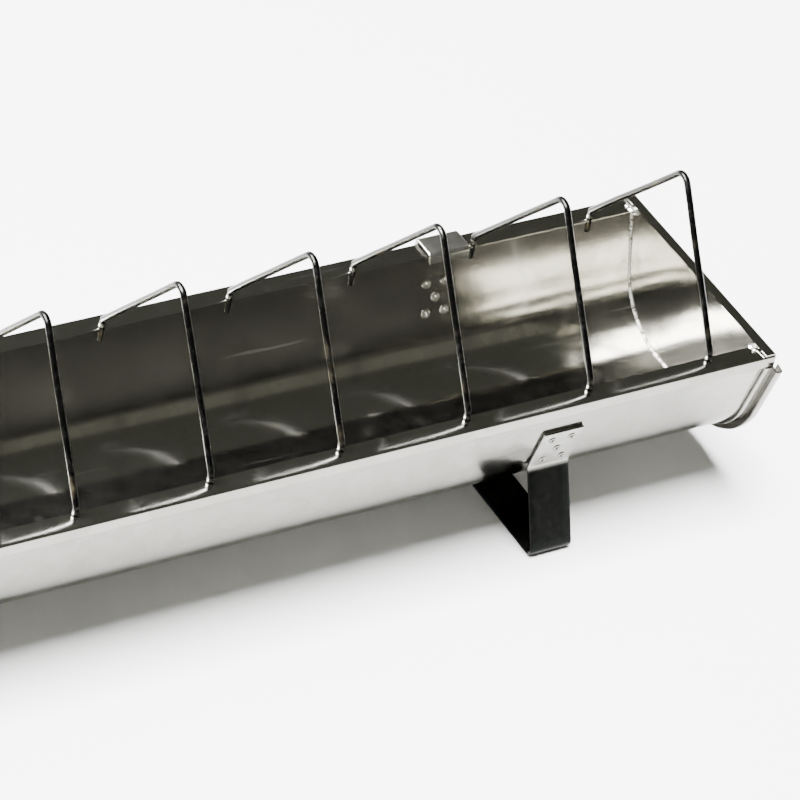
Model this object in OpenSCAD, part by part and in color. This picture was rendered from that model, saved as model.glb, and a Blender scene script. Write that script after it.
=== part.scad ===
// Trough feeder for poultry: a long galvanised sheet trough on two bent strap legs,
// with a row of wire bows standing in holes along its rims.
// X runs along the trough, Y across it (the front is -Y), Z up from the floor.

/* [Trough] */
// Length over the outer faces of the two end walls
body_l = 991; // [960:1:1100]
// Width over the upright outer faces of the two long rims
body_w = 150; // [146:1:160]
// Height of the rim flanges above the floor
rim_z = 99; // [96:1:120]
// Depth from the rim flanges to the underside of the rounded bottom
depth = 77; // [74:1:80]
// Outer radius of the rounded lower corners
corner_r = 45; // [40:1:48]
// Lean of the long walls away from upright, in degrees
wall_lean = 15.5; // [14:0.5:17]
// Thickness of the galvanised sheet
sheet = 0.8; // [0.6:0.1:1]

/* [Rims] */
// Height of the upright outer face of each long rim
rim_face_h = 7.3; // [6:0.1:9]
// How far the rim face stands out from the wall below it
rim_step = 0.9; // [0.8:0.1:1.2]
// Width of the flange that turns inwards from each long rim
flange_w = 12.8; // [12:0.1:14]
// Width of the hem folded back over the flange
hem_w = 7.5; // [6.5:0.1:8]
// Drop of the folded edge below the flange
edge_drop = 2.4; // [1.6:0.1:3]

/* [End walls] */
// Width of the lip that turns inwards along the top of each end wall
lip_w = 6; // [4:0.5:8]
// How far the folded seam stands out around each end
seam_out = 6; // [4:0.5:7]
// Length of the folded seam along the trough
seam_l = 4.5; // [3:0.5:6]

/* [Bows] */
// Number of wire bows
bow_count = 13; // [5:1:13]
// Distance from one bow to the next
bow_pitch = 76.5; // [60:0.5:78]
// Diameter of the bow wire
wire_d = 3.6; // [3:0.1:4]
// Distance from the middle of the trough to each row of bow holes
hole_y = 65; // [64.8:0.1:66]
// Radial gap between a bow's tail and its hole
hole_gap = 0.3; // [0.2:0.05:0.4]
// Height above the flange where the straight legs of a bow would meet
bow_h = 87; // [60:1:110]
// Shift of a bow's peak from the middle, towards the front when negative
peak_y = -8; // [-20:1:20]
// Turn of each bow away from square across the trough, in degrees
bow_turn = 1; // [0:0.25:1]
// Upright height of a bow's tail above the flange
tail_up = 5; // [5:0.5:8]
// Depth of a bow's tail below the flange
tail_down = 10; // [6:1:14]
// Centre line radius of the peak
peak_r = 6; // [4:0.5:10]
// Centre line radius of the bends above the tails
tail_r = 4; // [3:0.5:5]

/* [Legs] */
// Distance from an end wall to the middle of the leg near it
leg_inset = 129.5; // [129:0.5:130.5]
// Width of the leg strap
strap_w = 26; // [18:1:26]
// Thickness of the leg strap
strap_t = 2; // [1.5:0.1:2.4]
// Depth below the flange where the front tab starts
tab_top = 20; // [18:0.5:22]
// Depth below the flange where the strap leaves the wall
tab_bottom = 49.5; // [47.5:0.5:51]
// Width of the stand over the outer corners of a foot
foot_w = 169; // [150:1:190]
// Drop of the strap's hooked end inside the back rim
hook_drop = 5; // [3:0.5:8]

/* [Rivets] */
// Sideways distance from the middle of a leg to its outer rivets
rivet_dx = 6; // [5:0.5:8]
// Depth below the flange of the upper rivets
rivet_top = 25.5; // [25:0.5:27]
// Depth below the flange of the lower rivets
rivet_low = 43; // [41:0.5:43]
// Radius of a rivet's shank
rivet_r = 1.7; // [1.4:0.1:1.9]
// Radius of the rolled head inside the trough
head_r = 3.1; // [2.6:0.1:3.2]
// Radius of the bore down the middle of a rivet
rivet_bore_r = 1; // [0.7:0.1:1.1]

/* [Hidden] */
$fn = 64;
STEEL = "#9fa39a";
STRAP_STEEL = "#4c514c";
WIRE_STEEL = "#3a3b38";
// two-digit node names for the bows, counted from the left
BOWS = [for (i = [1 : bow_count]) str("wire_bow_", i < 10 ? "0" : "", i)];

half_w = body_w / 2;
half_l = body_l / 2;
leg_x = half_l - leg_inset;
// the wall's outer line starts at this depth and half width
wall_d0 = rim_face_h;
wall_y0 = half_w - rim_step;
// centre of the rounded lower corner, tangent to the leaning wall and to the flat bottom
corner_d = depth - corner_r;
tangent_d = corner_d + corner_r * sin(wall_lean);
corner_y = wall_y(tangent_d) - corner_r * cos(wall_lean);
edge_y = half_w - flange_w;
top_z = rim_z + sheet;
tail_bore_r = wire_d / 2 + hole_gap;
head_t = 0.7;
foot_t = 0.6;
foot_r = 2.3;
// a bend in the wire is a hair fatter than the runs, which end this far inside it
bend_swell = 0.03;
run_in = 0.3;
cut = 1;

// half width of the wall's outer face at a depth below the flange
function wall_y(d) = wall_y0 - tan(wall_lean) * (d - wall_d0);
function bow_x(i) = (i - (bow_count - 1) / 2) * bow_pitch;
function unit(v) = v / norm(v);
// the normal on the right of a direction
function right_of(v) = [v[1], -v[0]];
// shift of point i of a path, so that both its neighbouring runs move sideways by t
function mitre(p, i, t) =
    let (a = right_of(unit(p[max(i, 1)] - p[max(i, 1) - 1])),
         b = right_of(unit(p[min(i + 1, len(p) - 1)] - p[min(i, len(p) - 2)])))
    p[i] + (a + b) * t / (1 + a * b);

// places its children at one bow, turned as the bows are
module at_bow(i) {
    translate([bow_x(i), 0, 0]) rotate([0, 0, -bow_turn]) children();
}

// turns a drawing of Y and Z into a solid that runs along X from x0
module along_x(x0, l) {
    translate([x0, 0, 0]) rotate([90, 0, 90]) linear_extrude(l) children();
}

// a bent sheet in section: the path is its inner face, and the metal lies on the path's right
module ribbon(p, t) {
    n = len(p);
    polygon(concat(p, [for (i = [n - 1 : -1 : 0]) mitre(p, i, t)]));
}

// the trough's filled section below the rims, with its outer face grown outwards by g
module bowl(g) {
    c = cos(wall_lean);
    s = sin(wall_lean);
    r = corner_r + g;
    top_y = wall_y(wall_d0) + g / c;
    side_y = corner_y + r * c;
    side_z = rim_z - corner_d - r * s;
    mid_z = rim_z - corner_d;
    polygon([[-top_y, rim_z - wall_d0], [-side_y, side_z], [-corner_y, mid_z],
             [corner_y, mid_z], [side_y, side_z], [top_y, rim_z - wall_d0]]);
    translate([-corner_y, mid_z - r]) square([2 * corner_y, r]);
    intersection() {
        for (y = [-corner_y, corner_y]) translate([y, mid_z]) circle(r, $fn = 128);
        translate([-body_w, 0]) square([2 * body_w, rim_z - wall_d0]);
    }
}

module rim_section() {
    // step out from the wall, upright face, flange and its turned-down edge
    ribbon([[wall_y0 - sheet, rim_z - wall_d0 - sheet],
            [wall_y0 - sheet, rim_z - wall_d0],
            [half_w - sheet, rim_z - wall_d0 + rim_step],
            [half_w - sheet, rim_z - sheet],
            [edge_y + sheet, rim_z - sheet],
            [edge_y + sheet, rim_z - edge_drop]], sheet);
}

// one long rim with the hem folded back over its flange
module rim() {
    along_x(-half_l, body_l) rim_section();
    along_x(-half_l, body_l) translate([edge_y, rim_z - sheet / 2]) square([hem_w, 1.5 * sheet]);
}

// places its children on the wall's outer face at each rivet, with +Z pointing outwards
module at_rivets(x) {
    mid_d = (rivet_top + rivet_low) / 2;
    spots = [[-rivet_dx, rivet_top], [rivet_dx, rivet_top], [0, mid_d],
             [-rivet_dx, rivet_low], [rivet_dx, rivet_low]];
    for (side = [-1, 1], s = spots)
        translate([x + s[0], side * wall_y(s[1]), rim_z - s[1]])
            rotate([-side * (90 + wall_lean), 0, 0]) children();
}

module rivet_hole() {
    translate([0, 0, -sheet - cut]) cylinder(r = rivet_r, h = sheet + strap_t + 2 * cut);
}

module trough_body() {
    color(STEEL) difference() {
        union() {
            difference() {
                along_x(-half_l, body_l) bowl(0);
                along_x(-half_l - cut, body_l + 2 * cut) bowl(-sheet);
            }
            rim();
            mirror([0, 1, 0]) rim();
        }
        for (i = [0 : bow_count - 1], side = [-1, 1])
            at_bow(i) translate([0, side * hole_y, rim_z - edge_drop - cut])
                cylinder(r = tail_bore_r, h = edge_drop + sheet + 2 * cut);
        for (x = [-leg_x, leg_x]) at_rivets(x) rivet_hole();
    }
}

// end wall at the right: plate, lip over the rims and the C-shaped seam around the trough
module end_wall() {
    plate_top = top_z + sheet;
    color(STEEL) {
        along_x(half_l, sheet) {
            bowl(seam_out);
            translate([-half_w, rim_z - wall_d0 - cut]) square([body_w, plate_top - rim_z + wall_d0 + cut]);
        }
        along_x(half_l - lip_w, lip_w) translate([-half_w, top_z]) square([body_w, sheet]);
        along_x(half_l, seam_l) difference() {
            bowl(seam_out);
            bowl(seam_out - sheet);
        }
        along_x(half_l + seam_l - sheet, sheet) difference() {
            bowl(seam_out);
            bowl(0);
        }
    }
}

// inner face of a leg's strap, from the top of the front tab round to the hook in the back rim
function leg_path() =
    let (foot_y = foot_w / 2 - strap_t)
    [[-wall_y(tab_top), rim_z - tab_top],
     [-wall_y(tab_bottom), rim_z - tab_bottom],
     [-foot_y, strap_t],
     [foot_y, strap_t],
     [wall_y(tab_bottom), rim_z - tab_bottom],
     [wall_y(wall_d0 + rim_step), rim_z - wall_d0 - rim_step],
     [half_w, rim_z - wall_d0 + rim_step],
     [half_w, top_z],
     [edge_y, top_z],
     [edge_y, top_z - hook_drop]];

module leg(x) {
    color(STRAP_STEEL) difference() {
        along_x(x - strap_w / 2, strap_w) ribbon(leg_path(), strap_t);
        at_rivets(x) rivet_hole();
    }
}

module rivets(x) {
    color(STEEL) at_rivets(x) difference() {
        union() {
            translate([0, 0, -sheet]) cylinder(r = rivet_r, h = sheet + strap_t);
            translate([0, 0, -sheet - head_t]) cylinder(r = head_r, h = head_t);
            translate([0, 0, strap_t]) cylinder(r = foot_r, h = foot_t);
        }
        translate([0, 0, -sheet - head_t - cut])
            cylinder(r = rivet_bore_r, h = sheet + strap_t + head_t + foot_t + 2 * cut);
    }
}

// straight run of wire between two points of a drawing of Y and Z
module wire_run(a, b) {
    d = b - a;
    translate([0, a[0], a[1]]) rotate([-atan2(d[0], d[1]), 0, 0])
        cylinder(d = wire_d, h = norm(d));
}

// bend at corner b of the path a, b, c, with centre line radius r
module wire_bend(a, b, c, r) {
    u = unit(b - a);
    v = unit(c - b);
    turn = acos(u * v);
    side = u[0] * v[1] - u[1] * v[0] > 0 ? 1 : -1;
    start = b - u * r * tan(turn / 2);
    centre = start - side * right_of(u) * r;
    from = atan2(start[1] - centre[1], start[0] - centre[0]);
    translate([0, centre[0], centre[1]]) rotate([90, 0, 90])
        rotate([0, 0, side > 0 ? from : from - turn])
            rotate_extrude(angle = turn) translate([r, 0]) circle(wire_d / 2 + bend_swell);
}

// how much of a straight run a bend of radius r takes up at corner b
function setback(a, b, c, r) = r * tan(acos(unit(b - a) * unit(c - b)) / 2);

module bow(i) {
    p = [[-hole_y, rim_z - tail_down], [-hole_y, rim_z + tail_up], [peak_y, rim_z + bow_h],
         [hole_y, rim_z + tail_up], [hole_y, rim_z - tail_down]];
    r = [0, tail_r, peak_r, tail_r, 0];
    // where each run stops short of a corner, and the tails' ends
    short = [for (k = [0 : 4])
        k == 0 || k == 4 ? 0 : setback(p[k - 1], p[k], p[k + 1], r[k]) - run_in];
    color(WIRE_STEEL) at_bow(i) {
        for (k = [0 : 3]) {
            u = unit(p[k + 1] - p[k]);
            wire_run(p[k] + u * short[k], p[k + 1] - u * short[k + 1]);
        }
        for (k = [1 : 3]) wire_bend(p[k - 1], p[k], p[k + 1], r[k]);
    }
}

trough_body();
mirror([1, 0, 0]) end_wall();  // end_wall_left
end_wall();  // end_wall_right
leg(-leg_x);  // leg_left
leg(leg_x);  // leg_right
rivets(-leg_x);  // rivets_left
rivets(leg_x);  // rivets_right
for (i = [0 : bow_count - 1]) bow(i);
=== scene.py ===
"""Trough feeder: the finished look of its sheet metal trough, strap legs, rivets and wire bows."""

import math
import random

import bmesh
import bpy
from mathutils import Matrix, Vector, noise


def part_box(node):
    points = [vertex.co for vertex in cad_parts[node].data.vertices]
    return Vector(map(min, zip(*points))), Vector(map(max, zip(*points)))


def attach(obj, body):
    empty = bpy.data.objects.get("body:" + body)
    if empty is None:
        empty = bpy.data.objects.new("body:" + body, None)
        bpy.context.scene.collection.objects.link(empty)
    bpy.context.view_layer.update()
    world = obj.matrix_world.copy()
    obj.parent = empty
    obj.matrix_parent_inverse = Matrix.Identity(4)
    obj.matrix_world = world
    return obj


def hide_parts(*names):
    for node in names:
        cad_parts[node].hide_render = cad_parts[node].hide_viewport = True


bl_info = {
    "name": "Trough Feeder",
    "version": (1, 0, 0),
    "blender": (4, 5, 0),
    "location": "View3D > Sidebar > Feeder",
    "description": "Builds a galvanised trough feeder with strap legs and wire bows",
    "category": "Add Mesh",
}

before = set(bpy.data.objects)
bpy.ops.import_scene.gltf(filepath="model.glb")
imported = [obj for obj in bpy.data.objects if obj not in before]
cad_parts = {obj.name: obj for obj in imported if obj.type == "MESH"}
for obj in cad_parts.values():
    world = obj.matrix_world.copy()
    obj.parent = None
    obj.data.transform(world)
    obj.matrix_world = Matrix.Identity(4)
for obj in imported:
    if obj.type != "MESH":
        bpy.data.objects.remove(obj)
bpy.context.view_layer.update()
MM = 0.001
BODY = "trough"
ENDS = {"left": -1, "right": 1}
BOWS = sorted(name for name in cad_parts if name.startswith("wire_bow_"))
TROUGH_LO, TROUGH_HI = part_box("trough_body")
END_LO, END_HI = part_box("end_wall_right")
HALF_L = TROUGH_HI[0]
HALF_W = TROUGH_HI[1]
FLOOR_PAN = TROUGH_LO[2]
TROUGH_TOP = TROUGH_HI[2]
WALL_TOP = 30 * MM          # depth below the flange where the walls' line joins the rims'
TROUGH_STATIONS = 121       # places along the trough where its section is set out
FEWEST_FACES = 100          # a sheet with fewer faces after drilling has been lost


def length(name, description, default):
    """A size in metres for a property group."""
    return bpy.props.FloatProperty(name=name, description=description, default=default,
                                   precision=5, unit="LENGTH", subtype="DISTANCE")


def angle(name, description, degrees):
    """An angle for a property group."""
    return bpy.props.FloatProperty(name=name, description=description,
                                   default=math.radians(degrees), unit="ROTATION", subtype="ANGLE")


def factor(name, description, default, top=1.0):
    """A plain factor for a property group."""
    return bpy.props.FloatProperty(name=name, description=description, default=default,
                                   min=0.0, max=top, subtype="FACTOR")


def power(name, description, watts):
    """The power of a light for a property group."""
    return bpy.props.FloatProperty(name=name, description=description, default=watts,
                                   min=0.0, unit="POWER")


def colour(name, description, default):
    """A colour for a property group."""
    return bpy.props.FloatVectorProperty(name=name, description=description, default=default,
                                         size=3, min=0.0, max=1.0, subtype="COLOR")


class FeederSheetSizes(bpy.types.PropertyGroup):
    """Sizes of the trough's bent sheet."""
    sheet: length("Sheet", "Thickness of the galvanised sheet", 0.8 * MM)
    lean: angle("Wall lean", "Lean of the long walls away from upright", 15.5)
    corner_r: length("Corner radius", "Outer radius of the rounded lower corners", 45 * MM)
    depth: length("Depth", "From the rim flange to the underside of the bottom", 77 * MM)
    face_h: length("Rim face", "Height of the upright face of each long rim", 7.3 * MM)
    step: length("Rim step", "How far the rim face stands out from the wall", 0.9 * MM)
    flange_w: length("Flange", "Width of the flange that turns inwards", 12.8 * MM)
    hem_w: length("Hem", "Width of the hem folded over the flange", 7.5 * MM)
    edge_drop: length("Edge bead", "Drop of the folded inner edge below the flange", 2.2 * MM)
    wave: length("Waviness", "How far the thin sheet bows in and out", 0.35 * MM)


class FeederEndSizes(bpy.types.PropertyGroup):
    """Sizes of the end walls and their seams."""
    lip_w: length("Lip", "Width of the lip turned in along the top of the end wall", 6.0 * MM)
    seam_out: length("Seam height", "How far the folded seam stands out around the end", 5.9 * MM)
    strip_w: length("Seam strip", "Width of the lower strip beside the folded seam", 4.5 * MM)
    strip_out: length("Strip height", "How far that lower strip stands out", 1.9 * MM)
    solder_r: length("Solder", "Radius of the solder run inside the corner", 1.3 * MM)


class FeederLegSizes(bpy.types.PropertyGroup):
    """Sizes of the bent strap legs."""
    strap_t: length("Strap", "Thickness of the leg strap", 2.0 * MM)
    tab_top: length("Tab top", "Depth below the flange where the front tab starts", 20.0 * MM)
    tab_bottom: length("Tab bottom", "Depth below the flange where the strap leaves the wall",
                       49.5 * MM)
    foot_w: length("Foot", "Width of the stand over the outer corners of a foot", 169.0 * MM)
    hook_drop: length("Hook", "Drop of the strap's end inside the back rim", 5.0 * MM)
    bend_r: length("Bend", "Inner radius of the strap's bends", 2.4 * MM)
    groove: length("Groove", "Depth of the line where the strap's folded edges meet", 0.5 * MM)


class FeederRivetSizes(bpy.types.PropertyGroup):
    """Sizes of the clinched tube rivets."""
    spread: length("Spread", "Sideways distance from a leg's middle to its outer rivets", 6.0 * MM)
    top: length("Upper rivets", "Depth of the upper rivets below the flange", 25.5 * MM)
    low: length("Lower rivets", "Depth of the lower rivets below the flange", 43.0 * MM)
    shank_r: length("Shank", "Radius of a rivet's shank", 1.7 * MM)
    head_r: length("Head", "Radius of the rolled head inside the trough", 3.1 * MM)
    foot_r: length("Rolled foot", "Radius of the rolled end on the strap", 2.3 * MM)
    bore_r: length("Bore", "Radius of the bore down the middle of a rivet", 1.0 * MM)


class FeederBowSizes(bpy.types.PropertyGroup):
    """Sizes of the wire bows."""
    wire_d: length("Wire", "Diameter of the bow wire", 3.6 * MM)
    hole_y: length("Hole row", "From the middle of the trough to each row of bow holes", 65 * MM)
    hole_gap: length("Hole gap", "Gap between a bow's tail and its hole", 0.3 * MM)
    meet_h: length("Meeting height", "Height above the flange where straight sides would meet",
                   87 * MM)
    peak_y: length("Peak shift", "Shift of the peak across the trough", -8 * MM)
    turn: angle("Turn", "Turn of each bow away from square across the trough", 1.0)
    tail_up: length("Tail above", "Upright height of a tail above the flange", 5 * MM)
    tail_down: length("Tail below", "Depth of a tail below the flange", 10 * MM)
    peak_r: length("Peak radius", "Centre line radius of the peak", 6 * MM)
    tail_r: length("Tail radius", "Centre line radius of the bends above the tails", 4 * MM)
    wobble: length("Wobble", "How far a hand-bent bow strays from true", 0.5 * MM)


class FeederColours(bpy.types.PropertyGroup):
    """Colours of the metals."""
    zinc: colour("Zinc", "Clean zinc coat of the sheet", (0.265, 0.258, 0.236))
    zinc_dark: colour("Dull zinc", "Weathered parts of the zinc coat", (0.150, 0.150, 0.128))
    strap: colour("Strap zinc", "Zinc coat of the leg straps where they lie on the trough",
                  (0.30, 0.295, 0.275))
    # painted shade: the near-black colour of the legs below the trough darkens the same galvanised
    # strap as shade
    strap_painted_shade: colour("Strap dull", "Dark coat of the straps below the trough",
                       (0.004, 0.0045, 0.004))
    # painted shade: both bow wire colours are near black as shade on the wire, the brighter one
    # marking flecks of wear
    wire: colour("Wire", "Bright flecks of the bow wire", (0.030, 0.030, 0.028))
    wire_painted_shade: colour("Wire dull", "Dark coat of the bow wire", (0.004, 0.004, 0.0038))
    solder: colour("Solder", "Bright tin at the corners", (0.86, 0.84, 0.80))
    grime: colour("Grime", "Dust and feed that settle in the folds", (0.12, 0.10, 0.06))
    floor: colour("Floor", "Plain studio floor", (0.93, 0.93, 0.93))


class FeederStage(bpy.types.PropertyGroup):
    """Camera and light."""
    azimuth: angle("Azimuth", "Camera's turn around the object", 36.413)
    elevation: angle("Elevation", "Camera's height angle", 38.978)
    roll: angle("Roll", "Camera's roll about its own line of sight", 11.349)
    distance: length("Distance", "From the camera to the point that it looks at", 2342 * MM)
    aim_x: length("Aim along", "Point looked at, along the trough", 307.7 * MM)
    aim_z: length("Aim height", "Point looked at, above the floor", 58.4 * MM)
    lens: bpy.props.FloatProperty(name="Lens", description="Focal length on a 36 mm sensor",
                                  default=194.6, subtype="DISTANCE_CAMERA")
    sky: factor("Surround", "Brightness of the room around the stage", 0.15, 10.0)
    ceiling: power("Ceiling", "Power of the broad light that only brightens matt surfaces", 800.0)
    window: power("Window", "Power of the large softbox high on the left", 2200.0)
    panel: power("Panel", "Power of the dim warm panel in front on the right", 0.7)
    back: power("Back", "Power of the dim softbox behind the trough on the left", 14.0)


GROUPS = (
    ("feeder_sheet", FeederSheetSizes),
    ("feeder_end", FeederEndSizes),
    ("feeder_leg", FeederLegSizes),
    ("feeder_rivet", FeederRivetSizes),
    ("feeder_bow", FeederBowSizes),
    ("feeder_colours", FeederColours),
    ("feeder_stage", FeederStage),
)


# ---------------------------------------------------------------- lines and sections

def rounded(points, radii, steps=6):
    """The open line through the points, with each corner rounded to its radius."""
    line = []
    last = len(points) - 1
    for i, (here, radius) in enumerate(zip(points, radii)):
        here = Vector(here)
        if i in (0, last) or radius <= 0:
            line.append(here)
            continue
        a = (Vector(points[i - 1]) - here).normalized()
        b = (Vector(points[i + 1]) - here).normalized()
        half = a.angle(b) / 2
        reach = radius / math.tan(half)
        centre = here + (a + b).normalized() * radius / math.sin(half)
        start = here + a * reach - centre
        turn = math.pi - 2 * half
        end = here + b * reach - centre
        side = 1 if start.x * end.y - start.y * end.x > 0 else -1
        for k in range(steps + 1):
            line.append(centre + Matrix.Rotation(side * turn * k / steps, 2) @ start)
    return line


def resampled(line, gap):
    """The line with points added so that no run is longer than gap."""
    out = [line[0]]
    for a, b in zip(line, line[1:]):
        count = max(1, math.ceil((b - a).length / gap))
        out += [a.lerp(b, k / count) for k in range(1, count + 1)]
    return out


def normals_right(line):
    """The mitred normal on the right of the line at each of its points."""
    out = []
    for i in range(len(line)):
        runs = []
        if i > 0:
            runs.append((line[i] - line[i - 1]).normalized())
        if i < len(line) - 1:
            runs.append((line[i + 1] - line[i]).normalized())
        sides = [Vector((r.y, -r.x)) for r in runs]
        total = sum(sides, Vector((0, 0)))
        if len(sides) > 1:
            total = total / (total.length_squared / len(sides))
        out.append(total)
    return out


def spread(lo, hi, count):
    """Evenly spaced values from lo to hi."""
    return [lo + (hi - lo) * k / (count - 1) for k in range(count)]


# ---------------------------------------------------------------- meshes

def loft(name, loops, cap=True, ring=True):
    """A mesh through loops of points; each loop is closed on itself if ring is true."""
    mesh = bpy.data.meshes.new(name)
    bm = bmesh.new()
    rows = [[bm.verts.new(p) for p in loop] for loop in loops]
    count = len(rows[0])
    for a, b in zip(rows, rows[1:]):
        for k in range(count if ring else count - 1):
            n = (k + 1) % count
            bm.faces.new((a[k], a[n], b[n], b[k]))
    if cap:
        half = count // 2
        for row in (rows[0], rows[-1]):
            for k in range(half - 1):
                bm.faces.new((row[k], row[k + 1], row[count - 2 - k], row[count - 1 - k]))
    bmesh.ops.recalc_face_normals(bm, faces=bm.faces)
    bm.to_mesh(mesh)
    bm.free()
    return mesh


def joined(name, meshes):
    """One mesh from several."""
    bm = bmesh.new()
    for mesh in meshes:
        bm.from_mesh(mesh)
    out = bpy.data.meshes.new(name)
    bm.to_mesh(out)
    bm.free()
    for mesh in meshes:
        bpy.data.meshes.remove(mesh)
    return out


def shaded(mesh, degrees=32):
    """Smooth shading, with edges sharper than this left crisp."""
    for face in mesh.polygons:
        face.use_smooth = True
    mesh.set_sharp_from_angle(angle=math.radians(degrees))


def piece(name, mesh, material, body, replaced=()):
    """Puts a mesh into the scene as a piece of the object that rides on a body."""
    obj = bpy.data.objects.new(name, mesh)
    bpy.context.scene.collection.objects.link(obj)
    mesh.materials.clear()
    mesh.materials.append(material)
    shaded(mesh)
    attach(obj, body)
    if replaced:
        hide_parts(*replaced)
    return obj


def ribbon(line, thick):
    """Closed outline of a bent sheet whose face is the line, with its metal on the right."""
    far = [p + n * thick for p, n in zip(line, normals_right(line))]
    return list(line) + far[::-1]


def lathe(profile, count, place):
    """A closed profile of (radius, height) turned around Z, then placed by a matrix."""
    loops = []
    for k in range(count + 1):
        a = 2 * math.pi * (k % count) / count
        loops.append([place @ Vector((r * math.cos(a), r * math.sin(a), h)) for r, h in profile])
    mesh = loft("turned", loops, cap=False)
    bm = bmesh.new()
    bm.from_mesh(mesh)
    bmesh.ops.remove_doubles(bm, verts=bm.verts, dist=1e-7)
    bmesh.ops.recalc_face_normals(bm, faces=bm.faces)
    bm.to_mesh(mesh)
    bm.free()
    return mesh


def drilled(mesh, cutter):
    """The mesh with the cutter's volume taken away."""
    target = bpy.data.objects.new("drill_target", mesh)
    tool = bpy.data.objects.new("drill_tool", cutter)
    for obj in (target, tool):
        bpy.context.scene.collection.objects.link(obj)
    cut = target.modifiers.new("holes", "BOOLEAN")
    cut.operation = "DIFFERENCE"
    cut.solver = "EXACT"
    cut.object = tool
    bpy.context.view_layer.update()
    depsgraph = bpy.context.evaluated_depsgraph_get()
    out = bpy.data.meshes.new_from_object(target.evaluated_get(depsgraph))
    for obj in (target, tool):
        data = obj.data
        bpy.data.objects.remove(obj)
        bpy.data.meshes.remove(data)
    if len(out.polygons) < FEWEST_FACES:
        raise RuntimeError("the holes could not be cut")
    return out


# ---------------------------------------------------------------- the trough's section

class Section:
    """The trough's section, in metres: y across, z up."""

    def __init__(self, s):
        self.s = s
        self.rim_z = FLOOR_PAN + s.depth
        self.wall_y0 = HALF_W - s.step
        self.mid_z = self.rim_z - (s.depth - s.corner_r)
        self.tangent_d = s.depth - s.corner_r + s.corner_r * math.sin(s.lean)
        self.corner_y = self.wall_y(self.tangent_d) - s.corner_r * math.cos(s.lean)

    def wall_y(self, d):
        """Half width of the wall's outer face at a depth below the flange."""
        return self.wall_y0 - math.tan(self.s.lean) * (d - self.s.face_h)

    def wall_point(self, d, side):
        """Point of the wall's outer face at a depth, on the -1 or +1 side."""
        return Vector((side * self.wall_y(d), self.rim_z - d))

    def arc(self, side, count=14):
        """The outer line of the rounded corner, from the wall down to the flat bottom."""
        points = []
        for k in range(count + 1):
            a = -self.s.lean - (math.pi / 2 - self.s.lean) * k / count
            points.append(Vector((side * (self.corner_y + self.s.corner_r * math.cos(a)),
                                  self.mid_z + self.s.corner_r * math.sin(a))))
        return points

    def bowl_line(self, d_top, gap=4 * MM):
        """Outer line of the bowl from the front wall at d_top, under it, to the back wall."""
        front = [self.wall_point(d_top, -1)] + self.arc(-1)
        back = self.arc(1)[::-1] + [self.wall_point(d_top, 1)]
        return resampled(front + back, gap)

    def half_width(self, z):
        """Half width of the bowl's outer line at a height."""
        if self.rim_z - z <= self.tangent_d:
            return self.wall_y(self.rim_z - z)
        drop = self.mid_z - z
        return self.corner_y + math.sqrt(max(0.0, self.s.corner_r ** 2 - drop ** 2))


def warp_sheet(sec, x, p):
    """Bows the thin walls and bottom slightly in and out, and leaves the rims true."""
    low = min(1.0, max(0.0, (sec.rim_z - sec.s.face_h - 4 * MM - p.y) / (14 * MM)))
    ends = min(1.0, max(0.0, (HALF_L - abs(x)) / (30 * MM)))
    n = noise.noise(Vector((x * 9, p.x * 17, p.y * 17)))
    n += 0.5 * noise.noise(Vector((x * 31 + 7, p.x * 23, p.y * 23)))
    return sec.s.wave * low * ends * n


def bore(place, radius, lo, hi, count=24):
    """A round cutter along the placed Z."""
    return loft("bore", [[place @ Vector((radius * math.cos(2 * math.pi * k / count),
                                          radius * math.sin(2 * math.pi * k / count), h))
                          for k in range(count)] for h in (lo, hi)])


def bow_place(box_name, bow):
    """Where a bow stands: its middle on the centre line, turned as the bows are."""
    lo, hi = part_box(box_name)
    return Matrix.Translation(((lo[0] + hi[0]) / 2, 0, 0)) @ Matrix.Rotation(-bow.turn, 4, "Z")


def rivet_places(sec, rivet, leg_x):
    """A matrix for each rivet of a leg, on the wall's outer face with Z outwards."""
    mid = (rivet.top + rivet.low) / 2
    spots = [(-rivet.spread, rivet.top), (rivet.spread, rivet.top), (0.0, mid),
             (-rivet.spread, rivet.low), (rivet.spread, rivet.low)]
    out = []
    for side in (-1, 1):
        for dx, d in spots:
            p = sec.wall_point(d, side)
            out.append(Matrix.Translation((leg_x + dx, p.x, p.y))
                       @ Matrix.Rotation(-side * (math.pi / 2 + sec.s.lean), 4, "X"))
    return out


def leg_middle(name):
    """Where a leg stands along the trough."""
    lo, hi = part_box(name)
    return (lo[0] + hi[0]) / 2


# ---------------------------------------------------------------- materials

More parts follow.
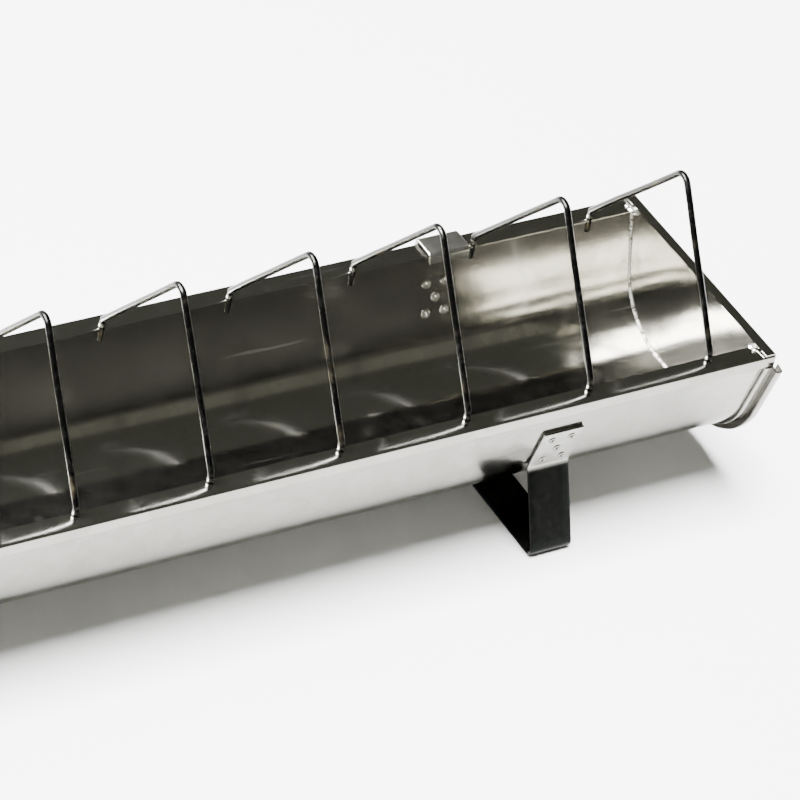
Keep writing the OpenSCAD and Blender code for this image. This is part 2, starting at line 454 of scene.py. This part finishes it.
class Finish:
    """Small helper that wires a procedural material."""

    def __init__(self, name, metallic, roughness):
        self.mat = bpy.data.materials.get(name) or bpy.data.materials.new(name)
        self.mat.use_nodes = True
        self.tree = self.mat.node_tree
        self.tree.nodes.clear()
        self.out = self.node("ShaderNodeOutputMaterial")
        self.shader = self.node("ShaderNodeBsdfPrincipled")
        self.shader.inputs["Metallic"].default_value = metallic
        self.shader.inputs["Roughness"].default_value = roughness
        self.link(self.shader.outputs["BSDF"], self.out.inputs["Surface"])
        self.coords = self.node("ShaderNodeTexCoord").outputs["Object"]

    def node(self, kind, **values):
        made = self.tree.nodes.new(kind)
        for key, value in values.items():
            setattr(made, key, value)
        return made

    def link(self, a, b):
        self.tree.links.new(a, b)

    def stretched(self, scale):
        """Object coordinates multiplied by a vector."""
        mapping = self.node("ShaderNodeMapping")
        mapping.inputs["Scale"].default_value = scale
        self.link(self.coords, mapping.inputs["Vector"])
        return mapping.outputs["Vector"]

    def noise(self, scale, detail=3.0, roughness=0.55, vector=None):
        made = self.node("ShaderNodeTexNoise")
        made.inputs["Scale"].default_value = scale
        made.inputs["Detail"].default_value = detail
        made.inputs["Roughness"].default_value = roughness
        self.link(vector or self.coords, made.inputs["Vector"])
        return made.outputs["Fac"]

    def crystals(self, size):
        """Random grey of each zinc crystal, about size across."""
        made = self.node("ShaderNodeTexVoronoi")
        made.inputs["Scale"].default_value = 1.0 / size
        made.inputs["Randomness"].default_value = 1.0
        self.link(self.coords, made.inputs["Vector"])
        return made.outputs["Color"]

    def ramp(self, value, stops):
        made = self.node("ShaderNodeValToRGB")
        points = made.color_ramp.elements
        while len(points) < len(stops):
            points.new(0.5)
        for point, (at, shade) in zip(points, stops):
            point.position = at
            point.color = (*shade, 1.0) if hasattr(shade, "__len__") else (shade, shade, shade, 1)
        self.link(value, made.inputs["Fac"])
        return made.outputs["Color"]

    def math(self, operation, a, b):
        made = self.node("ShaderNodeMath", operation=operation)
        for socket, value in zip(made.inputs, (a, b)):
            if isinstance(value, (int, float)):
                socket.default_value = value
            else:
                self.link(value, socket)
        return made.outputs["Value"]

    def mix(self, amount, a, b, blend="MIX"):
        made = self.node("ShaderNodeMix", data_type="RGBA", blend_type=blend)
        for socket, value in zip((made.inputs[0], made.inputs[6], made.inputs[7]),
                                 (amount, a, b)):
            if hasattr(value, "is_output"):
                self.link(value, socket)
            elif isinstance(value, (int, float)):
                socket.default_value = value
            else:
                socket.default_value = (*value, 1.0)
        return made.outputs[2]

    def bump(self, height, strength, distance):
        made = self.node("ShaderNodeBump")
        made.inputs["Strength"].default_value = strength
        made.inputs["Distance"].default_value = distance
        self.link(height, made.inputs["Height"])
        self.link(made.outputs["Normal"], self.shader.inputs["Normal"])


def zinc_finish(name, clean, dull, grime, crystal, rough, contrast, grain_along=(4, 260, 260),
                low_painted_shade=None):
    """Galvanised steel: crystals of zinc, rolling grain, dull patches, specks and scratches.

    The crystals are of one size in metres, the grain's vector stretches its noise along the
    sheet, and the last argument is the near-black colour painted as shade on the lower part of a
    leg.
    """
    f = Finish(name, 1.0, rough)
    grey = f.crystals(crystal)
    fine = f.noise(900, 4.0)
    patches = f.noise(11, 5.0, 0.6)
    grain = f.noise(1.0, 5.0, 0.65, f.stretched(grain_along))
    spangle = f.ramp(grey, [(0.15, 0.0), (0.85, 1.0)])
    dullness = f.math("ADD", f.math("MULTIPLY", spangle, contrast),
                      f.math("MULTIPLY", f.ramp(patches, [(0.38, 0.0), (0.68, 1.0)]), 0.30))
    base = f.mix(dullness, tuple(clean), tuple(dull))
    specks = f.ramp(f.noise(420, 2.0), [(0.60, 0.0), (0.72, 1.0)])
    base = f.mix(f.math("MULTIPLY", specks, 0.35), base, tuple(dull))
    settled = f.ramp(f.noise(26, 6.0, 0.7), [(0.62, 0.0), (0.80, 1.0)])
    base = f.mix(f.math("MULTIPLY", settled, 0.16), base, tuple(grime))
    # below the trough the leg's zinc is replaced by near-black painted shade, with faint flecks of
    # worn dull zinc and spangle
    if low_painted_shade:
        height = f.node("ShaderNodeSeparateXYZ")
        f.link(f.coords, height.inputs["Vector"])
        edge = f.math("ADD", height.outputs["Z"], f.math("MULTIPLY", fine, 0.6 * MM))
        # the painted shade of the lower leg ends between 47.5 and 51 mm above the floor
        below = f.ramp(f.math("DIVIDE", edge, 100 * MM), [(0.475, 1.0), (0.51, 0.0)])
        worn = f.ramp(f.noise(210, 5.0, 0.7), [(0.55, 0.0), (0.72, 1.0)])
        coat = f.mix(f.math("MULTIPLY", worn, 0.03), tuple(low_painted_shade), tuple(dull))
        coat = f.mix(f.math("MULTIPLY", spangle, 0.012), coat, tuple(dull))
        base = f.mix(below, base, coat)
    f.link(base, f.shader.inputs["Base Color"])
    scratch = f.ramp(f.noise(1.0, 2.0, 0.5, f.stretched((9, 700, 120))), [(0.71, 0.0), (0.74, 1.0)])
    level = f.math("ADD", f.math("MULTIPLY", dullness, 0.10), rough - 0.05)
    level = f.math("ADD", level, f.math("MULTIPLY", fine, 0.08))
    level = f.math("ADD", level, f.math("MULTIPLY", scratch, 0.10))
    level = f.math("ADD", level, f.math("MULTIPLY", settled, 0.16))
    f.link(level, f.shader.inputs["Roughness"])
    height = f.math("ADD", f.math("MULTIPLY", grain, 0.5), f.math("MULTIPLY", fine, 0.25))
    height = f.math("ADD", height, f.math("MULTIPLY", spangle, 0.12))
    height = f.math("SUBTRACT", height, f.math("MULTIPLY", scratch, 0.12))
    height = f.math("ADD", height, f.math("MULTIPLY", f.noise(130, 4.0, 0.6), 0.9))
    f.bump(height, 0.28, 0.00010)
    return f.mat


def wire_finish(name, bright, dark, grime):
    """Drawn wire painted near black as shade, with brighter flecks of wear along its length."""
    f = Finish(name, 1.0, 0.34)
    flecks = f.ramp(f.noise(160, 5.0, 0.7), [(0.50, 0.0), (0.74, 1.0)])
    # near-black painted shade, slightly brighter in flecks of wear
    base = f.mix(flecks, tuple(dark), tuple(bright))
    dust = f.ramp(f.noise(60, 4.0), [(0.56, 0.0), (0.74, 1.0)])
    base = f.mix(f.math("MULTIPLY", dust, 0.3), base, tuple(grime))
    f.link(base, f.shader.inputs["Base Color"])
    fine = f.noise(1400, 3.0)
    level = f.math("ADD", f.math("MULTIPLY", dust, 0.22), 0.20)
    level = f.math("ADD", level, f.math("MULTIPLY", fine, 0.16))
    f.link(level, f.shader.inputs["Roughness"])
    f.bump(f.math("ADD", fine, f.math("MULTIPLY", flecks, 0.6)), 0.35, 0.0001)
    return f.mat


def solder_finish(name, tin, grime):
    """Lumpy bright tin with dark flux in its hollows."""
    f = Finish(name, 1.0, 0.28)
    lumps = f.noise(380, 5.0, 0.65)
    base = f.mix(f.ramp(lumps, [(0.36, 1.0), (0.50, 0.0)]), tuple(tin), tuple(grime))
    f.link(base, f.shader.inputs["Base Color"])
    f.link(f.math("ADD", f.math("MULTIPLY", lumps, 0.3), 0.14), f.shader.inputs["Roughness"])
    f.bump(lumps, 0.5, 0.0004)
    return f.mat


def floor_finish(name, pale):
    """Plain matt studio floor with the faintest mottle."""
    f = Finish(name, 0.0, 0.85)
    mottle = f.ramp(f.noise(3.0, 3.0), [(0.3, 0.0), (0.7, 1.0)])
    soft = tuple(c * 0.985 for c in pale)
    f.link(f.mix(mottle, tuple(pale), soft), f.shader.inputs["Base Color"])
    return f.mat


def make_finishes(c):
    """Every material of the feeder, by the record's slot."""
    return {
        "trough_sheet": zinc_finish("galvanised_sheet", c.zinc, c.zinc_dark, c.grime,
                                    crystal=9 * MM, rough=0.12, contrast=0.26),
        "end_sheet": zinc_finish("galvanised_end", c.zinc, c.zinc_dark, c.grime,
                                 crystal=8 * MM, rough=0.12, contrast=0.28,
                                 grain_along=(260, 4, 260)),
        "leg_strap": zinc_finish("spangled_strap", c.strap, c.zinc_dark, c.grime,
                                 crystal=3.5 * MM, rough=0.22, contrast=0.30,
                                 grain_along=(260, 6, 6), low_painted_shade=tuple(c.strap_painted_shade)),
        "rivet_metal": zinc_finish("rolled_rivet", c.zinc, c.zinc_dark, c.grime,
                                   crystal=2 * MM, rough=0.24, contrast=0.25,
                                   grain_along=(90, 90, 90)),
        "bow_wire": wire_finish("dark_wire", c.wire, c.wire_painted_shade, c.grime),
        "solder": solder_finish("corner_solder", c.solder, c.grime),
    }


def finish(slot):
    """The material of a slot, made with the others the first time."""
    names = {"trough_sheet": "galvanised_sheet", "end_sheet": "galvanised_end",
             "leg_strap": "spangled_strap", "rivet_metal": "rolled_rivet",
             "bow_wire": "dark_wire", "solder": "corner_solder"}
    found = bpy.data.materials.get(names[slot])
    return found or make_finishes(bpy.context.scene.feeder_colours)[slot]


# ---------------------------------------------------------------- pieces

class FEEDER_OT_trough(bpy.types.Operator):
    """Builds the long trough from one bent sheet with folded rims and punched holes"""
    bl_idname = "feeder.trough"
    bl_label = "Trough body"

    def execute(self, context):
        scene = context.scene
        sec = Section(scene.feeder_sheet)
        stations = spread(-HALF_L, HALF_L, TROUGH_STATIONS)
        shell = self.shell(sec, stations)
        hems = joined("hems", self.hems(sec, stations))
        bow_holes = joined("holes", self.bow_bores(sec, scene.feeder_bow))
        hems = drilled(hems, bow_holes.copy())
        bores = [bow_holes]
        for word in ENDS:
            bores += [bore(place, scene.feeder_rivet.shank_r, -3 * MM, 4 * MM)
                      for place in rivet_places(sec, scene.feeder_rivet,
                                                leg_middle("leg_" + word))]
        shell = drilled(shell, joined("holes", bores))
        mesh = joined("trough_body_look", [hems, shell])
        piece("trough_sheet_body", mesh, finish("trough_sheet"), BODY,
              ["trough_body"])
        return {"FINISHED"}

    def rim_line(self, sec):
        """Outer face of the back rim: up the wall, out over the step, up, and in to its edge."""
        s = sec.s
        under = sec.rim_z - 0.05 * MM
        inner = HALF_W - s.flange_w + s.sheet + 0.08 * MM
        points = [sec.wall_point(WALL_TOP, 1), sec.wall_point(s.face_h + s.step, 1),
                  (HALF_W, sec.rim_z - s.face_h), (HALF_W, under),
                  (inner, under), (inner, under - 1.5 * MM)]
        return rounded(points, [0, 0.6 * MM, 1.2 * MM, 1.4 * MM, 1.0 * MM, 0], 5)

    def shell(self, sec, stations):
        """The bent sheet, from one rim's inner edge down round the bowl to the other's."""
        back = self.rim_line(sec)
        front = [Vector((-p.x, p.y)) for p in back[::-1]]
        bowl = sec.bowl_line(WALL_TOP)
        outline = ribbon((front + bowl[1:-1] + back)[::-1], sec.s.sheet)
        centre = Vector((0, sec.rim_z - 15 * MM))
        loops = []
        for x in stations:
            loop = []
            for p in outline:
                away = (p - centre).normalized() * warp_sheet(sec, x, p)
                loop.append((x, p.x + away.x, p.y + away.y))
            loops.append(loop)
        return loft("trough_shell", loops)

    def hems(self, sec, stations):
        """The folded hems that lie on the two rims."""
        edge = HALF_W - sec.s.flange_w
        low = sec.rim_z - sec.s.edge_drop
        line = rounded([(edge + 0.4 * MM, low), (edge, low + 0.4 * MM), (edge, TROUGH_TOP),
                        (edge + sec.s.hem_w, TROUGH_TOP)],
                       [0, 0, 0.75 * MM, 0], 5)
        strip = ribbon(line, sec.s.sheet * 0.93)
        return [loft("hem", [[(x, side * p.x, p.y) for p in strip] for x in stations])
                for side in (-1, 1)]

    def bow_bores(self, sec, bow):
        """A cutter for each hole that a bow's tail stands in."""
        radius = bow.wire_d / 2 + bow.hole_gap
        cutters = []
        for name in BOWS:
            place = bow_place(name, bow)
            for side in (-1, 1):
                at = place @ Matrix.Translation((0, side * bow.hole_y, 0))
                cutters.append(bore(at, radius, sec.rim_z - 4 * MM, TROUGH_TOP + 2 * MM))
        return cutters


class FEEDER_OT_ends(bpy.types.Operator):
    """Builds both end walls with their turned lips, folded seams and solder"""
    bl_idname = "feeder.ends"
    bl_label = "End walls"

    def execute(self, context):
        scene = context.scene
        sec = Section(scene.feeder_sheet)
        e = scene.feeder_end
        t = sec.s.sheet
        for word, side in ENDS.items():
            parts = [self.plate(sec, side, t), self.lip(sec, e, side, t)]
            parts += self.seam(sec, e, side, t)
            mesh = joined("end_wall_look_" + word, parts)
            piece("end_wall_sheet_" + word, mesh, finish("end_sheet"), BODY,
                  ["end_wall_" + word])
            solder = joined("solder_" + word, self.solder(sec, e, side))
            piece("end_solder_" + word, solder, finish("solder"), BODY)
        return {"FINISHED"}

    def plate(self, sec, side, t):
        """The flat end wall, very slightly dished."""
        top = END_HI[2] - 0.8 * MM
        heights = [FLOOR_PAN + 0.2 * MM + (top - FLOOR_PAN - 0.2 * MM) * (k / 26) ** 1.35
                   for k in range(27)]
        faces = []
        for x0 in (HALF_L, HALF_L + t):
            rows = []
            for z in heights:
                half = min(sec.half_width(z), HALF_W - 0.2 * MM)
                row = []
                for u in spread(-1, 1, 29):
                    swell = (1 - u * u) * math.sin(math.pi * (z - FLOOR_PAN) / (top - FLOOR_PAN))
                    n = noise.noise(Vector((side * 3, u * 2.1, z * 30)))
                    dish = (0.9 * swell + 0.5 * n * (1 - abs(u))) * MM
                    row.append((side * (x0 - max(0.0, dish)), u * half, z))
                rows.append(row)
            faces.append(rows)
        loops = [a + b[::-1] for a, b in zip(*faces)]
        return loft("plate", loops)

    def lip(self, sec, e, side, t):
        """The plate's upper edge, folded inwards over the ends of the rims."""
        top = END_HI[2]
        low = sec.rim_z - sec.s.face_h
        line = rounded([(HALF_L + t, low), (HALF_L + t, top), (HALF_L - e.lip_w, top)],
                       [0, 1.2 * MM, 0], 6)
        line = resampled(line, 2 * MM)
        outline = ribbon([Vector((p.x, p.y)) for p in line[::-1]], t)
        loops = []
        for y in spread(-HALF_W, HALF_W, 61):
            wave = 0.5 * MM * noise.noise(Vector((side * 5, y * 40, 0)))
            ragged = 0.35 * MM * noise.noise(Vector((side * 9, y * 160, 3)))
            loop = []
            for p in outline:
                inward = min(1.0, max(0.0, (HALF_L - p.x) / e.lip_w))
                loop.append((side * (p.x + inward * (wave + ragged)), y, p.y))
            loops.append(loop)
        return loft("lip", loops)

    def seam(self, sec, e, side, t):
        """The folded seam around the end and the lower strip beside it."""
        line = sec.bowl_line(sec.s.face_h, 3 * MM)
        out = normals_right(line)
        outer_x = END_HI[0]
        fold = rounded([(HALF_L + 0.05 * MM, -0.3 * MM), (HALF_L + 0.05 * MM, e.seam_out),
                        (outer_x, e.seam_out), (outer_x, 0.3 * MM)],
                       [0, 1.2 * MM, 1.2 * MM, 0], 5)
        fold = ribbon([Vector((p.x, p.y)) for p in fold], t)
        w = e.strip_w
        strip = rounded([(HALF_L, e.strip_out), (HALF_L - w, e.strip_out * 0.8),
                         (HALF_L - w - 0.8 * MM, -0.2 * MM)],
                        [0, 0.6 * MM, 0], 4)
        strip = [Vector((p.x, p.y)) for p in strip]
        strip = strip + [Vector((p.x, min(p.y - 0.7 * MM, -0.3 * MM))) for p in strip[::-1]]
        meshes = []
        for section, wave in ((fold, 0.35), (strip, 0.3)):
            loops = []
            for i, (p, n) in enumerate(zip(line, out)):
                k = noise.noise(Vector((side * 4, i * 0.21, wave * 10))) * wave * MM
                loop = []
                for q in section:
                    rise = max(0.0, q.y - 0.5 * MM) / e.seam_out
                    reach = q.y + min(0.0, k * rise)
                    loop.append((side * q.x, p.x + n.x * reach, p.y + n.y * reach))
                loops.append(loop)
            meshes.append(loft("seam", loops))
        return meshes

    def solder(self, sec, e, side):
        """A run of solder inside the corner and blobs where the rims meet the end."""
        facets = 8
        line = sec.bowl_line(sec.s.face_h + 2 * MM, 2.5 * MM)
        out = normals_right(line)
        inner = [p - n * sec.s.sheet for p, n in zip(line, out)]
        loops = []
        for i, (p, n) in enumerate(zip(inner, [-n for n in out])):
            r = e.solder_r * (0.75 + 0.6 * abs(noise.noise(Vector((side * 2, i * 0.37, 1)))))
            loop = []
            for k in range(facets):
                a = 2 * math.pi * k / facets
                dx = 0.8 * r * math.cos(a)
                dn = 0.8 * r * math.sin(a)
                loop.append((side * (HALF_L - 0.2 * MM + dx), p.x + n.x * dn, p.y + n.y * dn))
            loops.append(loop)
        meshes = [loft("solder_run", loops)]
        for end in (-1, 1):
            edge = end * (HALF_W - sec.s.flange_w)
            for j, (dx, dy, dz, r) in enumerate(((7.5, 1.5, -0.9, 2.2), (5.8, 0.2, -2.6, 1.8),
                                                 (8.6, 5.0, -0.1, 1.2))):
                centre = Vector((side * (HALF_L - dx * MM), edge + end * dy * MM,
                                 TROUGH_TOP + dz * MM))
                meshes.append(self.blob(centre, r * MM, side * 31 + end * 7 + j))
        return meshes

    def blob(self, centre, radius, seed):
        """A flattened lump of solder."""
        bm = bmesh.new()
        bmesh.ops.create_icosphere(bm, subdivisions=3, radius=1.0)
        for v in bm.verts:
            n = 1 + 0.35 * noise.noise(v.co * 1.7 + Vector((seed, 0, 0)))
            v.co = centre + Vector((v.co.x * n * 1.2, v.co.y * n, v.co.z * n * 0.45)) * radius
        mesh = bpy.data.meshes.new("blob")
        bm.to_mesh(mesh)
        bm.free()
        return mesh


class FEEDER_OT_legs(bpy.types.Operator):
    """Builds both legs, each one strap bent round under the trough and over its back rim"""
    bl_idname = "feeder.legs"
    bl_label = "Legs"

    def execute(self, context):
        scene = context.scene
        sec = Section(scene.feeder_sheet)
        for word in ENDS:
            mesh = self.strap(sec, scene.feeder_leg, "leg_" + word, ENDS[word])
            holes = [bore(place, scene.feeder_rivet.shank_r, -3 * MM, 5 * MM)
                     for place in rivet_places(sec, scene.feeder_rivet,
                                               leg_middle("leg_" + word))]
            mesh = drilled(mesh, joined("holes", holes))
            mesh.name = "leg_look_" + word
            piece("leg_strap_" + word, mesh, finish("leg_strap"), BODY,
                  ["leg_" + word])
        return {"FINISHED"}

    def strap(self, sec, g, node, side):
        """The strap's section swept along its bent line."""
        lo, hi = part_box(node)
        half = (hi[0] - lo[0]) / 2
        middle = (hi[0] + lo[0]) / 2
        t = g.strap_t
        foot = g.foot_w / 2 - t
        edge = HALF_W - sec.s.flange_w
        top = TROUGH_TOP
        r = g.bend_r
        points = [sec.wall_point(g.tab_top, -1), sec.wall_point(g.tab_bottom, -1),
                  (-foot, t), (foot, t), sec.wall_point(g.tab_bottom, 1),
                  sec.wall_point(sec.s.face_h + sec.s.step, 1),
                  (HALF_W, sec.rim_z - sec.s.face_h + sec.s.step), (HALF_W, top),
                  (edge, top), (edge, top - g.hook_drop)]
        radii = [0, 5 * MM, r, r, 5 * MM, 2.6 * MM, 1.0 * MM, 0.8 * MM, 0.7 * MM, 0]
        line = resampled(rounded(points, radii, 6), 3 * MM)
        out = normals_right(line)
        # across the strap: smooth outer face, rolled edges, and a groove on its other face
        roll = 0.8 * MM
        outer = [(-half + roll * (1 - math.cos(a)), t - roll * (1 - math.sin(a)))
                 for a in spread(0, math.pi / 2, 5)]
        outer += [(-half * 0.5, t), (0, t), (half * 0.5, t)]
        outer += [(-x, n) for x, n in outer[4::-1]]
        split = -0.12 * half
        inner = [(half - 0.6 * MM, 0.0), (split + 0.7 * MM, 0.0), (split, g.groove),
                 (split - 0.7 * MM, 0.0), (-half + 0.6 * MM, 0.0)]
        while len(inner) < len(outer):
            inner.insert(1, ((inner[0][0] + inner[1][0]) / 2, 0.0))
        section = outer + inner
        loops = []
        count = len(line)
        for i, (p, n) in enumerate(zip(line, out)):
            # both cut ends are narrowed and their outer edges rounded
            end = i in (0, count - 1)
            pinch = {0: 0.96, count - 3: 0.985, count - 2: 0.985, count - 1: 0.93}.get(i, 1.0)
            loop = []
            for x, h in section:
                wave = 0.0
                if pinch == 1.0 and abs(x) > half * 0.9:
                    wave = 0.15 * MM * noise.noise(Vector((i * 0.3, x * 90, side * 3)))
                    wave *= -math.copysign(0.5, x)
                if end and h > t / 2:
                    h -= 0.2 * MM
                loop.append((middle + x * pinch + wave, p.x + n.x * h, p.y + n.y * h))
            loops.append(loop)
        return loft("strap", loops)


class FEEDER_OT_rivets(bpy.types.Operator):
    """Builds the clinched tube rivets that hold each leg to the trough's walls"""
    bl_idname = "feeder.rivets"
    bl_label = "Rivets"

    def execute(self, context):
        scene = context.scene
        sec = Section(scene.feeder_sheet)
        g = scene.feeder_rivet
        sheet = sec.s.sheet
        strap = scene.feeder_leg.strap_t
        head = -sheet - 0.7 * MM
        foot = strap + 0.6 * MM
        profile = [(g.bore_r, head + 0.5 * MM), (g.bore_r + 0.35 * MM, head + 0.1 * MM),
                   (g.bore_r + 0.9 * MM, head), (g.head_r - 0.5 * MM, head + 0.06 * MM),
                   (g.head_r - 0.1 * MM, head + 0.3 * MM), (g.head_r, -sheet - 0.05 * MM),
                   (g.shank_r - 0.04 * MM, -sheet - 0.02 * MM),
                   (g.shank_r - 0.04 * MM, strap + 0.02 * MM),
                   (g.foot_r, strap + 0.04 * MM), (g.foot_r - 0.15 * MM, foot - 0.15 * MM),
                   (g.bore_r + 0.45 * MM, foot), (g.bore_r, foot - 0.4 * MM)]
        for word in ENDS:
            rng = random.Random(word)
            parts = []
            for place in rivet_places(sec, g, leg_middle("leg_" + word)):
                grow = 1 + rng.uniform(-0.05, 0.0)
                tilt = Matrix.Rotation(rng.uniform(-0.03, 0.03), 4, "X")
                parts.append(lathe([(r * (grow if r > g.shank_r else 1), h) for r, h in profile],
                                   28, place @ tilt))
            piece("rivet_ring_" + word, joined("rivets_look_" + word, parts),
                  finish("rivet_metal"), BODY, ["rivets_" + word])
        return {"FINISHED"}


class FEEDER_OT_bows(bpy.types.Operator):
    """Builds the wire bows that stand in the holes of the rims"""
    bl_idname = "feeder.bows"
    bl_label = "Wire bows"

    def execute(self, context):
        scene = context.scene
        sec = Section(scene.feeder_sheet)
        g = scene.feeder_bow
        for i, name in enumerate(BOWS):
            mesh = self.wire(sec, g, name, i)
            piece(name + "_look", mesh, finish("bow_wire"),
                  "bow_" + name[-2:], [name])
        return {"FINISHED"}

    def wire(self, sec, g, name, seed):
        """One wire, swept along its bent line with a little hand-made wobble."""
        z = sec.rim_z
        rng = random.Random(seed)
        peak = (g.peak_y + rng.uniform(-1, 1) * g.wobble,
                z + g.meet_h - rng.uniform(0, 1) * g.wobble)
        points = [(-g.hole_y, z - g.tail_down), (-g.hole_y, z + g.tail_up), peak,
                  (g.hole_y, z + g.tail_up), (g.hole_y, z - g.tail_down)]
        line = rounded(points, [0, g.tail_r, g.peak_r, g.tail_r, 0], 10)
        line = resampled(line, 4 * MM)
        out = normals_right(line)
        place = bow_place(name, g)
        radius = g.wire_d / 2
        tips = [0.45, 0.85]
        facets = 14
        loops = []
        last = len(line) - 1
        for i, (p, n) in enumerate(zip(line, out)):
            high = min(1.0, max(0.0, (p.y - z - g.tail_up) / (20 * MM)))
            sway = g.wobble * high * noise.noise(Vector((seed * 3.1, p.x * 22, p.y * 22)))
            bulge = 0.5 * g.wobble * high * noise.noise(Vector((seed * 1.7 + 50, p.x * 30, 4)))
            # the tips taper over the last two points, and the second is drawn close to the end
            from_end = min(i, last - i)
            thick = radius * (tips[from_end] if from_end < len(tips) else 1.0)
            if from_end == 1:
                p = line[0 if i == 1 else last].lerp(p, 0.12)
            loop = []
            for k in range(facets):
                a = 2 * math.pi * k / facets
                side = thick * math.cos(a)
                q = p + n.normalized() * (thick * math.sin(a) - abs(bulge))
                loop.append(place @ Vector((side + sway, q.x, q.y)))
            loops.append(loop)
        return loft("wire", loops)


class FEEDER_OT_stage(bpy.types.Operator):
    """Sets the floor, the lights and the camera"""
    bl_idname = "feeder.stage"
    bl_label = "Stage"

    def execute(self, context):
        scene = context.scene
        g = scene.feeder_stage
        self.floor(scene)
        self.room(scene, g)
        self.camera(scene, g)
        return {"FINISHED"}

    def floor(self, scene):
        half = 6.0
        steps = spread(-half, half, 9)
        mesh = loft("floor", [[(x, y, 0.0) for y in steps] for x in steps], cap=False, ring=False)
        for face in mesh.polygons:
            if face.normal.z < 0:
                mesh.flip_normals()
                break
        obj = bpy.data.objects.new("stage_floor", mesh)
        scene.collection.objects.link(obj)
        mesh.materials.append(floor_finish("studio_floor", scene.feeder_colours.floor))

    def room(self, scene, g):
        world = bpy.data.worlds.new("studio")
        world.use_nodes = True
        back = world.node_tree.nodes["Background"]
        back.inputs["Color"].default_value = (0.92, 0.97, 0.80, 1)
        back.inputs["Strength"].default_value = g.sky
        scene.world = world
        aim = Vector((g.aim_x, 0, g.aim_z))
        ceiling = self.lamp(scene, "ceiling", aim + Vector((0, 0, 3.0)), aim, 1.7, 1.7, g.ceiling)
        ceiling.visible_glossy = False
        window = self.lamp(scene, "window", aim + Vector((-1.09, 0.49, 1.48)), aim, 1.64, 0.98,
                           g.window)
        window.visible_diffuse = False
        self.lamp(scene, "back", aim + Vector((-1.2, 1.5, 1.0)), aim, 0.9, 0.9, g.back)
        panel = self.lamp(scene, "panel", aim + Vector((1.0, -1.5, 1.3)), aim, 1.6, 0.6, g.panel)
        panel.data.color = (1.0, 0.93, 0.80)

    def lamp(self, scene, name, at, aim, wide, high, watts):
        data = bpy.data.lights.new(name, "AREA")
        data.shape = "RECTANGLE"
        data.size = wide
        data.size_y = high
        data.energy = watts
        obj = bpy.data.objects.new(name, data)
        obj.location = at
        obj.rotation_euler = (aim - Vector(at)).to_track_quat("-Z", "Y").to_euler()
        scene.collection.objects.link(obj)
        return obj

    def camera(self, scene, g):
        data = bpy.data.cameras.new("camera")
        data.sensor_width = 36.0
        data.lens = g.lens
        data.clip_start = 0.05
        data.clip_end = 50.0
        sa, ca = math.sin(g.azimuth), math.cos(g.azimuth)
        se, ce = math.sin(g.elevation), math.cos(g.elevation)
        back = Vector((-sa * ce, -ca * ce, se))
        right = Vector((ca, -sa, 0))
        up = back.cross(right)
        cr, sr = math.cos(g.roll), math.sin(g.roll)
        r2 = right * cr + up * sr
        u2 = up * cr - right * sr
        at = Vector((g.aim_x, 0, g.aim_z)) + back * g.distance
        matrix = Matrix((r2, u2, back)).transposed().to_4x4()
        matrix.translation = at
        obj = bpy.data.objects.new("camera", data)
        scene.collection.objects.link(obj)
        obj.matrix_world = matrix
        scene.camera = obj


class FEEDER_PT_panel(bpy.types.Panel):
    """Lists the feeder's pieces and sizes"""
    bl_idname = "FEEDER_PT_panel"
    bl_label = "Trough feeder"
    bl_space_type = "VIEW_3D"
    bl_region_type = "UI"
    bl_category = "Feeder"

    def draw(self, context):
        layout = self.layout
        for operator in OPERATORS:
            layout.operator(operator.bl_idname)
        for name, group in GROUPS:
            box = layout.box()
            box.label(text=group.__doc__)
            for key in group.__annotations__:
                box.prop(getattr(context.scene, name), key)


OPERATORS = (FEEDER_OT_trough, FEEDER_OT_ends, FEEDER_OT_legs, FEEDER_OT_rivets,
             FEEDER_OT_bows, FEEDER_OT_stage)
CLASSES = tuple(group for _, group in GROUPS) + OPERATORS + (FEEDER_PT_panel,)


def register():
    for cls in CLASSES:
        bpy.utils.register_class(cls)
    for name, group in GROUPS:
        setattr(bpy.types.Scene, name, bpy.props.PointerProperty(type=group))


def unregister():
    for name, _ in GROUPS:
        delattr(bpy.types.Scene, name)
    for cls in reversed(CLASSES):
        bpy.utils.unregister_class(cls)


def main():
    """Registers the add-on and builds every piece in order."""
    register()
    bpy.ops.feeder.trough()
    bpy.ops.feeder.ends()
    bpy.ops.feeder.legs()
    bpy.ops.feeder.rivets()
    bpy.ops.feeder.bows()
    bpy.ops.feeder.stage()


if __name__ == "__main__":
    main()
